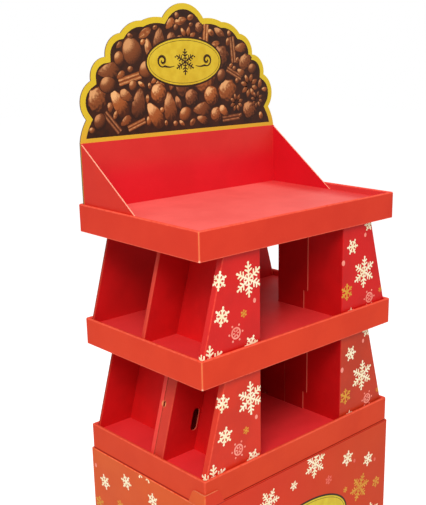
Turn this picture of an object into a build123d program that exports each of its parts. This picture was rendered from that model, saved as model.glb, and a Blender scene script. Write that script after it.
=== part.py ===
"""Floor display stand of folded corrugated board.

Two trapezoid shelf levels stand between three shallow trays on a box base, and a scalloped
header card stands behind the riser in the top tray. Millimetres, Z up, origin at the middle
of the base's underside. The front with the printed faces looks along -Y.
"""

from build123d import *
import os
from math import hypot

# Board
board = 3.0               # thickness of every folded sheet
fit = 0.3                 # gap between sheets that slide past each other
fold_r = 0.8 * board      # outside radius of a single fold

# Base box and its support
base_l = 600.0            # along X, the printed long side
base_w = 400.0            # along Y
base_h = 360.0
base_corner_r = 4.0       # vertical folds
base_flange = 60.0        # top flanges folded inwards, which carry the bottom tray
mitre_gap = 1.0           # cut between two neighbouring flanges
corner_tab_w = 52.0       # retaining tab on each face of the front left corner
corner_tab_top_w = 38.0
corner_tab_h = 31.0
corner_tab_r = 9.0        # its rounded upper ends

# Trays
skirt_h = 60.0            # outer height of a tray
rim_h = 15.0              # rim above the tray's floor
rim_gap = 1.0             # air between the two leaves of the rolled rim
rim_flat = 0.2            # left flat between the rim's two rounded shoulders
tray_corner_r = 4.0

# Shelf levels
module_h = 253.0          # from a tray's floor to the underside of the floor above
module_inset = 71.7       # how far each side leans in from floor to top
module_gap = 2.0          # between a level's feet and the tray's rim
opening_w = 258.0         # front doorway between the two printed faces
opening_h = 213.0         # its head lies behind the skirt above
door_gap = 2.0            # cut between the two doors folded back from the doorway
return_d = 15.0           # side returns of the front panel
wedge_foot_w = 68.7       # hollow of an inner wall at its foot, beside the doorway

# Inner walls
leaf_front_d = 103.0      # front edge of a wedge's tunnel leaf, behind the front face
leaf_notch_d = 12.0       # lower front corner cut out of the tunnel leaf
leaf_notch_h = 45.0
lock_tab_z = 53.0         # foot of the tab that locks an inner wall into a cross sheet
lock_tab_h = 42.0
rear_notch_y = 50.0       # small finger notch at the foot of the lower rear tunnel leaves
rear_notch_w = 7.0
rear_notch_h = 8.0

# Cross dividers, each with its side flange
upper_divider_y = 0.0     # front face
upper_flange_d = 9.0
upper_leaf_back_y = 9.0   # where the upper tunnel leaves end
front_divider_y = -47.0   # front face of the lower front divider
front_flange_d = 27.0     # wide flange, folded to the rear
rear_divider_y = -5.0     # rear face of the lower rear divider
rear_flange_d = 12.4      # narrow flange, folded to the front
leaf_seam_y = -13.0       # where front and rear tunnel leaves meet on the lower level
leaf_seam_gap = 1.0
flange_chamfer = 8.0      # lower rear corner of the wide flange
flange_notch_z = 111.0
flange_notch_h = 12.0
flange_notch_d = 4.0
hand_slot_l = 50.0        # rounded slot in the lower front divider, beside the inner wall
hand_slot_w = 18.0
hand_slot_z = 69.0
hand_slot_gap = 5.0       # from the inner wall to the slot

# Riser and header card
riser_h = 143.0           # above the top tray's floor
wing_d = 196.0            # depth of a wing at the floor
header_h = 290.0          # header above the riser's top edge

# Header outline from the right foot to the crown: (share of half width, share of height,
# outward bulge of the scallop that ends there as a share of its chord)
scallops = [
    (0.935, 0.165, 0.06),
    (0.880, 0.440, 0.25),
    (0.745, 0.607, 0.22),
    (0.600, 0.775, 0.20),
    (0.400, 0.865, 0.12),
    (0.205, 0.890, 0.07),
]
crown_bulge = 0.27        # middle scallop, as a share of its chord

# Sizes that follow
rim_t = 2 * board + rim_gap
floor_z = skirt_h - rim_h
tray_l = base_l - 2 * (board + fit)
tray_w = base_w - 2 * (board + fit)
inner_x = tray_l / 2 - rim_t
inner_y = tray_w / 2 - rim_t
pitch = module_h + board
half_floor = inner_x - module_gap
half_top = half_floor - module_inset
front_y = -(inner_y - module_gap)
back_y = -front_y
slope = module_inset / module_h
slant_t = board * hypot(1, slope)
tunnel_x = opening_w / 2
wedge_foot_x = tunnel_x + wedge_foot_w
wedge_top_w = 2 * board + rim_gap
wedge_h = (wedge_foot_x - (tunnel_x - board) - wedge_top_w) / slope
leaf_front_y = front_y + leaf_front_d
leaf_h = opening_h - fit
tray_z = [base_h + level * pitch for level in range(3)]
shelf_z = [z + floor_z for z in tray_z]


def block(x0, x1, y0, y1, z0, z1):
    """Box between two corners."""
    middle = Pos((x0 + x1) / 2, (y0 + y1) / 2, (z0 + z1) / 2)
    return middle * Box(x1 - x0, y1 - y0, z1 - z0)


def along_y(profile, y0, y1):
    """Profile drawn as (X, Z), extruded from y0 to y1."""
    return extrude(Plane.XZ.offset(-y0) * profile, amount=y0 - y1)


def along_x(profile, x0, x1):
    """Profile drawn as (Y, Z), extruded from x0 to x1."""
    return extrude(Plane.YZ.offset(x0) * profile, amount=x1 - x0)


def area(*points):
    return make_face(Polyline(*points, close=True))


def rounded_slab(length, width, radius, z0, z1):
    """Upright block with rounded vertical corners."""
    return Pos(0, 0, z0) * extrude(RectangleRounded(length, width, radius), amount=z1 - z0)


def edges_near(part, *centres):
    """Edges whose middle lies at one of the given points."""
    return [e for e in part.edges() for c in centres if (e.center() - Vector(*c)).length < board / 2]


def side_x(height):
    """Half width of a shelf level at a height above its floor."""
    return half_floor - slope * height


def inner_wall_x(height):
    """Bay side of the sloped inner wall at a height above the floor."""
    return wedge_foot_x - slope * height


def both_sides(shape):
    return shape + mirror(shape, Plane.YZ)


def cross_section():
    """Full trapezoid of a shelf level, as (X, Z)."""
    return area((-half_floor, 0), (half_floor, 0), (half_top, module_h), (-half_top, module_h))


def side_strip(z0, z1):
    """Slanted strip of board in the right side plane, as (X, Z)."""
    return area(
        (side_x(z0) - slant_t, z0),
        (side_x(z0), z0),
        (side_x(z1), z1),
        (side_x(z1) - slant_t, z1),
    )


def wall_strip(z0, z1, slack=0.0):
    """Slanted strip of the right inner wall, as (X, Z), widened by slack."""
    low = z0 - slack
    high = z1 + slack
    return area(
        (inner_wall_x(low) - slant_t - slack, low),
        (inner_wall_x(low) + slack, low),
        (inner_wall_x(high) + slack, high),
        (inner_wall_x(high) - slant_t - slack, high),
    )


def doorway(half_width):
    """Middle opening of a front panel or a divider, as (X, Z)."""
    return Pos(0, opening_h / 2) * Rectangle(2 * half_width, opening_h)


def lock_slots():
    """Slots for the tabs of the two inner walls, as (X, Z)."""
    slot = wall_strip(lock_tab_z, lock_tab_z + lock_tab_h, fit)
    return slot + mirror(slot, Plane.YZ)


def slanted_fold_points(y):
    x = (half_floor + half_top) / 2
    return (x, y, module_h / 2), (-x, y, module_h / 2)


def front_panel():
    """Printed front: trapezoid with side returns and two doors folded back from the doorway."""
    panel = along_y(cross_section() - doorway(tunnel_x), front_y, front_y + board)
    panel += both_sides(along_y(side_strip(0, module_h), front_y, front_y + return_d))
    door_back_y = front_y + tunnel_x - door_gap / 2
    panel += both_sides(block(tunnel_x, tunnel_x + board, front_y, door_back_y, 0, leaf_h))
    door_folds = (tunnel_x, front_y, opening_h / 2), (-tunnel_x, front_y, opening_h / 2)
    return fillet(edges_near(panel, *slanted_fold_points(front_y), *door_folds), fold_r)


def back_panel(locks_walls):
    """Plain trapezoid at the rear, slotted where inner walls end on it."""
    profile = cross_section()
    if locks_walls:
        profile -= lock_slots()
    return along_y(profile, back_y - board, back_y)


def divider(y0, flange_y, extra_cut=None):
    """Cross sheet from y0 to y0 + board, with side flanges that end at flange_y."""
    profile = cross_section() - doorway(tunnel_x + fit) - lock_slots()
    if extra_cut:
        profile -= extra_cut
    sheet = along_y(profile, y0, y0 + board)
    sheet += both_sides(along_y(side_strip(0, module_h), min(y0, flange_y), max(y0 + board, flange_y)))
    fold_y = y0 if flange_y > y0 else y0 + board
    return fillet(edges_near(sheet, *slanted_fold_points(fold_y)), fold_r)


def hand_slots():
    """Rounded slots that run beside the inner walls, as (X, Z)."""
    x = inner_wall_x(hand_slot_z) + hand_slot_gap + hand_slot_w / 2
    lean = 90 + Vector(1, 0, 0).get_angle(Vector(1, slope, 0))
    slot = Pos(x, hand_slot_z) * Rot(0, 0, lean) * SlotOverall(hand_slot_l, hand_slot_w)
    return slot + mirror(slot, Plane.YZ)


def front_divider_lower():
    """Divider whose wide flange has a chamfered foot and a small notch."""
    end_y = front_divider_y + front_flange_d
    sheet = divider(front_divider_y, end_y, hand_slots())
    foot = area((end_y, 0), (end_y - flange_chamfer, 0), (end_y, flange_chamfer))
    sheet -= along_x(foot, -half_floor, half_floor)
    notch_top = flange_notch_z + flange_notch_h
    sheet -= block(-half_floor, half_floor, end_y - flange_notch_d, end_y, flange_notch_z, notch_top)
    return sheet


def wedge(y0, y1, leaf_y0, leaf_y1):
    """Right inner wall: one sheet folded over at the top into a sloped and a tunnel leaf.

    The sloped leaf runs from y0 to y1 and the tunnel leaf from leaf_y0 to leaf_y1.
    """
    leaf_x = tunnel_x - board
    void_top = wedge_h - board
    outer = area((leaf_x, 0), (wedge_foot_x, 0), (leaf_x + wedge_top_w, wedge_h), (leaf_x, wedge_h))
    void = area(
        (tunnel_x, 0),
        (wedge_foot_x - slant_t, 0),
        (inner_wall_x(void_top) - slant_t, void_top),
        (tunnel_x, void_top),
    )
    sheet = along_y(outer - void, y0, y1)
    if leaf_y0 > y0:
        sheet -= block(leaf_x, tunnel_x + fit, y0, leaf_y0, 0, wedge_h)
    sheet += block(leaf_x, tunnel_x, leaf_y0, leaf_y1, 0, leaf_h)
    return sheet


def lock_tab(y0, y1):
    """Tab of the right inner wall, which ends flush with the cross sheet that it passes."""
    return along_y(wall_strip(lock_tab_z, lock_tab_z + lock_tab_h), y0, y1)


def front_wedge(cross_y, leaf_back_y):
    """Right wedge between the front panel and a divider whose front face is at cross_y."""
    sheet = wedge(front_y + board + fit, cross_y - fit, leaf_front_y, leaf_back_y)
    sheet += lock_tab(cross_y - fit, cross_y + board)
    notch_back_y = leaf_front_y + leaf_notch_d
    return sheet - block(tunnel_x - board, tunnel_x, leaf_front_y, notch_back_y, 0, leaf_notch_h)


def rear_wedge():
    """Right wedge of the lower level, locked into the rear divider and the back panel."""
    end_y = back_y - board - fit
    sheet = wedge(rear_divider_y + fit, end_y, leaf_seam_y + leaf_seam_gap / 2, end_y)
    sheet += lock_tab(rear_divider_y - board, rear_divider_y + fit)
    sheet += lock_tab(end_y, back_y)
    notch_y1 = rear_notch_y + rear_notch_w
    return sheet - block(tunnel_x - board, tunnel_x, rear_notch_y, notch_y1, 0, rear_notch_h)


def tray():
    """Shallow tray: floor, rolled double rim and a skirt that hangs below the floor."""
    shell = rounded_slab(tray_l, tray_w, tray_corner_r, 0, skirt_h)
    shell -= block(-inner_x, inner_x, -inner_y, inner_y, floor_z, skirt_h)
    skirt_x = tray_l / 2 - board
    skirt_y = tray_w / 2 - board
    shell -= block(-skirt_x, skirt_x, -skirt_y, skirt_y, 0, floor_z - board)
    gap_top = skirt_h - board - rim_gap / 2
    gap = block(-skirt_x, skirt_x, -skirt_y, skirt_y, floor_z - board, gap_top)
    gap_x = skirt_x - rim_gap
    gap_y = skirt_y - rim_gap
    shell -= gap - block(-gap_x, gap_x, -gap_y, gap_y, floor_z - board, gap_top)
    rim_edges = shell.edges().filter_by_position(Axis.Z, skirt_h - fit, skirt_h + fit)
    return fillet(rim_edges, (rim_t - rim_flat) / 2)


def corner_tab():
    """Retaining tab of the front left corner, which stands around the bottom tray's skirt."""
    root = -base_corner_r
    leaf = area(
        (0, root),
        (corner_tab_w, root),
        (corner_tab_w, 0),
        (corner_tab_top_w, corner_tab_h),
        (0, corner_tab_h),
    )
    upper_end = leaf.vertices().sort_by(Axis.Y)[-2:].sort_by(Axis.X)[-1]
    leaf = fillet(upper_end, corner_tab_r)
    corner = (-base_l / 2, -base_w / 2, base_h)
    front = Plane(origin=corner, x_dir=(1, 0, 0), z_dir=(0, -1, 0)) * extrude(leaf, amount=-board)
    left = Plane(origin=corner, x_dir=(0, 1, 0), z_dir=(1, 0, 0)) * extrude(leaf, amount=board)
    outline = rounded_slab(base_l, base_w, base_corner_r, base_h + root, base_h + corner_tab_h)
    return (front + left) & outline


def base_box():
    """Printed box base: four walls, top flanges folded inwards and one corner tab."""
    wall_r = base_corner_r - board if base_corner_r > board else 0.25 * board
    box = rounded_slab(base_l, base_w, base_corner_r, 0, base_h)
    box -= rounded_slab(base_l - 2 * board, base_w - 2 * board, wall_r, 0, base_h - board)
    hole_l = base_l - 2 * base_flange
    hole_w = base_w - 2 * base_flange
    box -= block(-hole_l / 2, hole_l / 2, -hole_w / 2, hole_w / 2, base_h - board, base_h)
    for x in (-1, 1):
        for y in (-1, 1):
            middle = Pos(x * (base_l / 2 - board - base_flange / 2), y * (base_w / 2 - board - base_flange / 2))
            cut = Rot(0, 0, 45 * x * y) * Box(base_flange * hypot(1, 1), mitre_gap, 2 * board)
            box -= Pos(0, 0, base_h) * middle * cut
    box += corner_tab()
    top_folds = (base_l / 2, 0, base_h), (0, base_w / 2, base_h)
    return fillet(edges_near(box, *top_folds), fold_r)


def support_sheet(half_length, half_hole, slot_z0, slot_z1):
    """Upright sheet under the bottom tray, stepped in above the flanges, as (length, Z)."""
    shoulder_z = base_h - board
    top_z = shelf_z[0] - board
    profile = area(
        (-half_length, 0),
        (half_length, 0),
        (half_length, shoulder_z),
        (half_hole, shoulder_z),
        (half_hole, top_z),
        (-half_hole, top_z),
        (-half_hole, shoulder_z),
        (-half_length, shoulder_z),
    )
    slot_w = board + 2 * fit
    slot = Pos(0, (slot_z0 + slot_z1) / 2) * Rectangle(slot_w, slot_z1 - slot_z0)
    return profile - slot


def base_supports():
    """Two sheets slotted halfway into each other."""
    top_z = shelf_z[0] - board
    half_z = top_z / 2
    along = support_sheet(base_l / 2 - board - fit, base_l / 2 - base_flange - fit, half_z, top_z)
    across = support_sheet(base_w / 2 - board - fit, base_w / 2 - base_flange - fit, 0, half_z)
    return along_y(along, -board / 2, board / 2), along_x(across, -board / 2, board / 2)


def riser():
    """Back sheet with two triangular wings, folded into a U."""
    half = inner_x - fit
    rear_y = inner_y - fit - board
    sheet = block(-half, half, rear_y - board, rear_y, 0, riser_h)
    wing = area((rear_y, 0), (rear_y, riser_h), (rear_y - wing_d, 0))
    sheet += both_sides(along_x(wing, half - board, half))
    folds = (half, rear_y, riser_h / 2), (-half, rear_y, riser_h / 2)
    return fillet(edges_near(sheet, *folds), fold_r)


def header_outline():
    """Card from the tray's floor to the scalloped dome, as (X, Z) above that floor."""
    half = inner_x - fit
    right = [(half, riser_h)]
    right += [(half * x, riser_h + header_h * z) for x, z, _ in scallops]
    bulges = [b for _, _, b in scallops]
    left = [(-x, z) for x, z in reversed(right)]
    starts = right + left[:-1]
    ends = right[1:] + left
    edges = [Line((-half, riser_h), (-half, 0)), Line((-half, 0), (half, 0)), Line((half, 0), right[0])]
    for start, end, bulge in zip(starts, ends, bulges + [crown_bulge] + bulges[::-1]):
        chord = Vector(*end) - Vector(*start)
        out = Vector(chord.Y, -chord.X) * bulge
        middle = (Vector(*start) + Vector(*end)) * 0.5 + out
        edges.append(ThreePointArc(start, middle, end))
    return make_face(Wire(edges))


def header_card():
    return along_y(header_outline(), inner_y - fit - board, inner_y - fit)


def level_nodes():
    """All sheets of the two shelf levels, each at its own tray's floor."""
    upper = {
        "front_panel_upper": front_panel(),
        "back_panel_upper": back_panel(locks_walls=False),
        "divider_upper": divider(upper_divider_y, upper_divider_y + upper_flange_d),
        "wedge_right_upper": front_wedge(upper_divider_y, upper_leaf_back_y),
    }
    lower = {
        "front_panel_lower": front_panel(),
        "back_panel_lower": back_panel(locks_walls=True),
        "front_divider_lower": front_divider_lower(),
        "rear_divider_lower": divider(rear_divider_y - board, rear_divider_y - rear_flange_d),
        "wedge_right_front_lower": front_wedge(front_divider_y, leaf_seam_y - leaf_seam_gap / 2),
        "wedge_right_rear_lower": rear_wedge(),
    }
    placed = {}
    for sheets, z in ((lower, shelf_z[0]), (upper, shelf_z[1])):
        for name, sheet in sheets.items():
            placed[name] = Pos(0, 0, z) * sheet
            if "right" in name:
                placed[name.replace("right", "left")] = Pos(0, 0, z) * mirror(sheet, Plane.YZ)
    return placed


def build():
    nodes = {"base_box": base_box()}
    nodes["base_support_long"], nodes["base_support_cross"] = base_supports()
    for name, z in zip(("tray_bottom", "tray_middle", "tray_top"), tray_z):
        nodes[name] = Pos(0, 0, z) * tray()
    nodes.update(level_nodes())
    nodes["riser"] = Pos(0, 0, shelf_z[2]) * riser()
    nodes["header_card"] = Pos(0, 0, shelf_z[2]) * header_card()
    return nodes


os.makedirs("parts", exist_ok=True)
for node, shape in build().items():
    export_step(shape, f"parts/{node}.step")
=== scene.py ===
"""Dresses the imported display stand: inks and board, printed ornaments, camera and light.

Sizes are in millimetres unless a name says otherwise; Blender's own are in metres.
"""

import bmesh
import bpy
from math import atan, cos, hypot, pi, radians, sin, sqrt, tan, tau
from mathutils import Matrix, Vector
from random import Random

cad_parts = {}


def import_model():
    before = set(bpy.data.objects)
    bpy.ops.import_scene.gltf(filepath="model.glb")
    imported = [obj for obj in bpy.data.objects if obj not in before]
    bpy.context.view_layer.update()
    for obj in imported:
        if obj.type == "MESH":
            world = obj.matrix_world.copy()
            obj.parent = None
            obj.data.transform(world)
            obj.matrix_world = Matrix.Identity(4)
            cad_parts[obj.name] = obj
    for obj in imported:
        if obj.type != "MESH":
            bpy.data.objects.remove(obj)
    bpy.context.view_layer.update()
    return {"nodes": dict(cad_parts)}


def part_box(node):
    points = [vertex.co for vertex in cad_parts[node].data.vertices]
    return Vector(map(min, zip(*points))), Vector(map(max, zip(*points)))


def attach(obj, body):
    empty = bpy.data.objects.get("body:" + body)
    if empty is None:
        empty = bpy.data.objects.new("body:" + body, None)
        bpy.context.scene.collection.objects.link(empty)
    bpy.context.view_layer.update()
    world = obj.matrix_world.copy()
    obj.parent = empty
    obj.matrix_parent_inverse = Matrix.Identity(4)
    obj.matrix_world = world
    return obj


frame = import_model()
nodes = frame["nodes"]

MM = 0.001

# Sizes of the stand
board = 3.0
flute_pitch = 6.4
fold_r = 0.8 * board
level_slope = 0.2834
nick_y = -20.0            # torn notch in the lower front divider's flange
nick_z = 117.0
riser_h = 143.0
header_h = 290.0
return_d = 15.0

# Right half of the header's outline, from the foot up: shares of its half width and height, and
# the bulge of the arc that ends there
scallops = [
    (0.935, 0.165, 0.06),
    (0.880, 0.440, 0.25),
    (0.745, 0.607, 0.22),
    (0.600, 0.775, 0.20),
    (0.400, 0.865, 0.12),
    (0.205, 0.890, 0.07),
]
crown_bulge = 0.27


def low(node, axis):
    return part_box(node)[0][axis] / MM


def high(node, axis):
    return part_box(node)[1][axis] / MM


# Sizes and places that the frame's boxes give
X, Y, Z = 0, 1, 2
front_y = low("front_panel_upper", Y)
foot_half = high("front_panel_upper", X)
level_h = high("front_panel_upper", Z) - low("front_panel_upper", Z)
shelf_z = {level: low(f"front_panel_{level}", Z) for level in ("lower", "upper")}
back_mid_y = high("back_panel_upper", Y) - board / 2
tunnel_x = low("wedge_right_upper", X) + board
wedge_foot_x = high("wedge_right_upper", X)
base_x = high("base_box", X)
base_y = high("base_box", Y)
base_h = low("tray_bottom", Z)
tray_x = high("tray_top", X)
tray_y = high("tray_top", Y)
skirt_h = high("tray_top", Z) - low("tray_top", Z)
floor_h = shelf_z["upper"] - low("tray_middle", Z)
riser_z = low("riser", Z)
riser_mid_y = high("riser", Y) - board / 2
header_y = low("header_card", Y)
header_half = high("header_card", X)
border_z = riser_z + riser_h


def rgb(red, green, blue):
    """Colour as read from a picture, turned into Blender's linear values."""
    linear = []
    for value in (red, green, blue):
        c = value / 255
        linear.append(c / 12.92 if c <= 0.04045 else ((c + 0.055) / 1.055) ** 2.4)
    return (*linear, 1.0)


def added(name, data):
    """New object in the scene."""
    made = bpy.data.objects.new(name, data)
    bpy.context.scene.collection.objects.link(made)
    return made


# Materials

class Field:
    """A number that varies over a surface."""

    def __init__(self, tree, socket):
        self.tree = tree
        self.socket = socket

    def math(self, operation, *values):
        node = self.tree.nodes.new("ShaderNodeMath")
        node.operation = operation
        for slot, value in zip(node.inputs, values):
            if isinstance(value, Field):
                self.tree.links.new(value.socket, slot)
            else:
                slot.default_value = value
        return Field(self.tree, node.outputs[0])

    def __add__(self, other):
        return self.math("ADD", self, other)

    def __sub__(self, other):
        return self.math("SUBTRACT", self, other)

    def __rsub__(self, other):
        return self.math("SUBTRACT", other, self)

    def __mul__(self, other):
        return self.math("MULTIPLY", self, other)

    __and__ = __mul__

    def __or__(self, other):
        return self.math("MAXIMUM", self, other)

    def __gt__(self, other):
        return self.math("GREATER_THAN", self, other)

    def __lt__(self, other):
        return self.math("LESS_THAN", self, other)

    def __abs__(self):
        return self.math("ABSOLUTE", self)

    def __invert__(self):
        return self.math("SUBTRACT", 1.0, self)

    def wave(self, pitch):
        return self.math("SINE", self * (tau / pitch))

    def ramp(self, start, end):
        """0 below start, 1 above end and smooth between them."""
        node = self.tree.nodes.new("ShaderNodeMapRange")
        node.interpolation_type = "SMOOTHSTEP"
        self.tree.links.new(self.socket, node.inputs["Value"])
        node.inputs["From Min"].default_value = start
        node.inputs["From Max"].default_value = end
        return Field(self.tree, node.outputs["Result"])

    def where(self, mask, other):
        """This value where the mask is 1, the other value where it is 0."""
        return self * mask + other * ~mask


class Surface:
    """A material with its place, x, y, z in millimetres, and its normal nx, ny, nz."""

    def __init__(self, name, roughness, specular):
        self.material = bpy.data.materials.new(name)
        self.material.use_nodes = True
        self.tree = self.material.node_tree
        self.link = self.tree.links.new
        self.shader = self.tree.nodes["Principled BSDF"]
        self.shader.inputs["Roughness"].default_value = roughness
        self.shader.inputs["Specular IOR Level"].default_value = specular
        self.where = self.tree.nodes.new("ShaderNodeTexCoord")
        self.x, self.y, self.z = (part * (1 / MM) for part in self.split(self.where.outputs["Object"]))
        self.nx, self.ny, self.nz = self.split(self.where.outputs["Normal"])
        self.out = abs(self.x)

    def split(self, vector):
        node = self.tree.nodes.new("ShaderNodeSeparateXYZ")
        self.link(vector, node.inputs[0])
        return [Field(self.tree, output) for output in node.outputs]

    def noise(self, size, detail=2.0, stretch=(1, 1, 1)):
        """Noise from 0 to 1 with spots of about the given size."""
        mapping = self.tree.nodes.new("ShaderNodeMapping")
        mapping.inputs["Scale"].default_value = stretch
        self.link(self.where.outputs["Object"], mapping.inputs["Vector"])
        node = self.tree.nodes.new("ShaderNodeTexNoise")
        node.inputs["Scale"].default_value = 1 / (size * MM)
        node.inputs["Detail"].default_value = detail
        self.link(mapping.outputs[0], node.inputs["Vector"])
        return Field(self.tree, node.outputs["Fac"])

    def fibres(self, stretch=(1, 1, 1)):
        """Fine fibres of the paper, 1 in their middle."""
        return self.noise(2.2, 2.0, stretch).ramp(0.62, 0.78)

    def attribute(self, name):
        node = self.tree.nodes.new("ShaderNodeAttribute")
        node.attribute_name = name
        return Field(self.tree, node.outputs["Fac"])

    def mix(self, factor, first, second):
        node = self.tree.nodes.new("ShaderNodeMix")
        node.data_type = "RGBA"
        self.link(factor.socket, node.inputs[0])
        for slot, colour in ((node.inputs[6], first), (node.inputs[7], second)):
            if isinstance(colour, tuple):
                slot.default_value = colour
            else:
                self.link(colour, slot)
        return node.outputs[2]

    def finish(self, colour, height=None, roughness=None):
        """Connect a colour, and if given a height in millimetres and a roughness."""
        self.link(colour, self.shader.inputs["Base Color"])
        if roughness:
            self.link(roughness.socket, self.shader.inputs["Roughness"])
        if height:
            bump = self.tree.nodes.new("ShaderNodeBump")
            bump.inputs["Distance"].default_value = MM
            self.link(height.socket, bump.inputs["Height"])
            self.link(bump.outputs[0], self.shader.inputs["Normal"])
        return self.material


kraft = rgb(188, 148, 104)
raw_edge = (rgb(150, 84, 58), rgb(240, 198, 158))
# Darker cut edge of the inside parts: painted shade
shaded_cut_edge = (rgb(104, 28, 20), rgb(184, 66, 50))
flange_edge = (rgb(200, 62, 44), rgb(236, 110, 84))


def corrugated(surface, along, across, tones=raw_edge):
    """Cut edge of the board: two liners and the wave between them, over the dark hollows."""
    paper_t = 0.45
    wave = along.wave(flute_pitch) * (board / 2 - 0.7)
    paper = (abs(across - wave) < paper_t) | (abs(across) > board / 2 - paper_t)
    return surface.mix(paper, *tones)


def wall_edge(surface, half_x, half_y):
    """Cut edge of four upright walls, which make a rectangle with these half sizes."""
    side = surface.out > half_x - board - 0.2
    along = surface.y.where(side, surface.x)
    from_side = surface.out - (half_x - board / 2)
    from_front = abs(surface.y) - (half_y - board / 2)
    return corrugated(surface, along, from_side.where(side, from_front))


def ink(surface, colour, wear_and_highlight):
    """Printed liner: a little uneven, with fibres showing, and pale where the mask says: rubbed wear, and on
    the folds of fronts and dividers a painted highlight as well.
    """
    depth = 0.88
    deep = tuple(c * depth for c in colour[:3]) + (1.0,)
    pale = tuple(c * depth + p * (1 - depth) for c, p in zip(colour, rgb(250, 120, 90)))
    tint = surface.mix(surface.noise(70.0, 3.0).ramp(0.35, 0.7), colour, deep)
    tint = surface.mix(surface.fibres((1, 1, 0.25)) * 0.5, tint, pale)
    return surface.mix(wear_and_highlight, tint, rgb(240, 104, 76))


def mottled(surface, tint, size, full, share, dark, pale):
    """Broad darker patches and fine pale fibres.

    The patches have the given size and reach their share where the noise is full.
    """
    tint = surface.mix(surface.noise(size, 3.0).ramp(0.3, full) * share, tint, dark)
    return surface.mix(surface.fibres() * 0.1, tint, pale)


def fold_wear_and_highlight(surface, share):
    """Upright folds, rubbed in spots up to the given share: wear, and a painted highlight along the folds.
    """
    on_fold = abs(surface.nx * surface.ny) > 0.12
    return on_fold & (surface.noise(11.0, 3.0).ramp(0.2, 0.7) * share)


def upright_flutes(surface):
    """Flutes of walls that face along x or y."""
    return surface.x.wave(flute_pitch).where(abs(surface.nx) < 0.5, surface.y.wave(flute_pitch))


def finish_ink(surface, colour, flutes, raw, satin=0.38):
    """Satin varnish over faint flutes; the cut edges stay matt."""
    matt = 0.85
    height = flutes * 0.012 + surface.noise(1.2) * 0.02
    roughness = (surface.noise(45.0) * 0.12 + satin) * ~raw + raw * matt
    return surface.finish(colour, height, roughness)


def dress(material, *names):
    for name in names:
        for slot in nodes[name].material_slots:
            slot.material = material


# Ink of the upright inner faces, darker than the tray floors: painted shade of the bays
red_inner_shaded = rgb(204, 20, 22)
red_wall = rgb(223, 24, 25)
# Darker ink of the tunnel leaves: painted shade inside the tunnel
shaded_red_leaf = rgb(176, 12, 14)
# Darker ink of the doors' returns: painted shade inside the tunnel
shaded_red_door = rgb(197, 15, 18)
# Lighter inks of the divider flanges' outer faces: painted light
lit_red_flange = rgb(210, 58, 42)
brighter_lit_flange = rgb(238, 66, 56)


def tray_material(name, z0, colour, floor_colour, shaded_end_colour, stacked):
    """Tray board; the stacked ones have a rubbed front corner, the lowest a shaded foot.

    The floor's ink turns to the darker end colour beside the right rim: painted shade.
    """
    s = Surface(name, 0.55, 0.12)
    height = s.z - z0
    upright = abs(s.nz) < 0.5
    raw = (s.nz < -0.5) & (height < 1.0)
    # Rolled rim paler: painted highlight of the rim, with the fold's rubbed ink
    rim_highlight_and_wear = (height > skirt_h - 4.0) & (abs(s.nz) < 0.97) & (abs(s.nz) > 0.15)
    foot = (height < 1.6) & upright
    corner = abs(s.nx * s.ny).ramp(0.12, 0.4)
    wear_and_highlight = (rim_highlight_and_wear * 0.45 | foot * 0.6 | corner * 0.25) & s.noise(9.0, 3.0).ramp(0.1, 0.7)
    rim = 2 * board
    inside = (height > floor_h - 0.6) & (s.out < tray_x - rim) & (abs(s.y) < tray_y - rim)
    floor_ink = s.mix(s.x.ramp(205.0, 262.0), floor_colour, shaded_end_colour)
    tint = s.mix(inside, colour, floor_ink)
    tint = mottled(s, tint, 80.0, 0.75, 0.18, rgb(180, 22, 16), rgb(250, 130, 90))
    tint = s.mix(wear_and_highlight, tint, rgb(244, 110, 84))
    if stacked:
        from_corner = ((s.x + tray_x) | (s.y + tray_y)) - s.noise(14.0, 3.0) * 1.2
        rubbed = ~from_corner.ramp(0.7, 2.2) & upright
        tint = s.mix(rubbed * 0.75, tint, rgb(222, 128, 76))
        bare_tip = ~from_corner.ramp(1.4, 2.8) & ~height.ramp(2.0, 5.0)
        tint = s.mix(bare_tip * 0.8, tint, rgb(255, 186, 158))
    else:
        shaded = ~height.ramp(1.4, 3.2) & upright
        tint = s.mix(shaded, tint, rgb(132, 30, 20))
    tint = s.mix(raw, tint, wall_edge(s, tray_x, tray_y))
    return finish_ink(s, tint, upright_flutes(s), raw, 0.52)


def side_inset(surface, z0):
    """Distance inside the slanted side plane of the level that stands at z0."""
    beside_foot = foot_half - surface.out
    return (beside_foot - (surface.z - z0) * level_slope) * (1 / hypot(1, level_slope))


# On the fronts the darker right tone between these x is painted light falloff
tone_turn = (-150.0, 200.0)    # x at which the inks of the fronts start and end to change


def front_material(name, z0, left_colour, right_colour):
    """Printed front, whose ink runs from one tone at the left to a darker one at the right: painted light
    falloff.
    """
    s = Surface(name, 0.45, 0.25)
    inset = side_inset(s, z0)
    at_side = inset < board + 0.4
    from_sheet = s.y - (front_y + board / 2)
    folded = ~(abs(from_sheet) < board / 2 + 0.1)
    raw = (abs(s.nz) > 0.6) | ((s.ny > 0.5) & (s.y > front_y + board + 1.0))
    from_flap = (inset - board / 2).where(at_side, s.out - (tunnel_x + board / 2))
    along = s.y.where(folded, s.x)
    across = from_flap.where(folded, from_sheet)
    # Side folds paler: rubbed ink and painted highlight
    wear_and_highlight = fold_wear_and_highlight(s, 0.35) & at_side
    face = s.mix(s.x.ramp(*tone_turn), ink(s, left_colour, wear_and_highlight), ink(s, right_colour, wear_and_highlight))
    door = (abs(s.nx) > 0.7) & (s.out < tunnel_x + board + 1.0)
    # Door returns in the darker ink: painted shade
    face = s.mix(door, face, ink(s, shaded_red_door, wear_and_highlight))
    tint = s.mix(raw, face, corrugated(s, along, across))
    flutes = s.x.wave(flute_pitch).where(abs(s.ny) > 0.5, s.y.wave(flute_pitch))
    return finish_ink(s, tint, flutes, raw)


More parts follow.
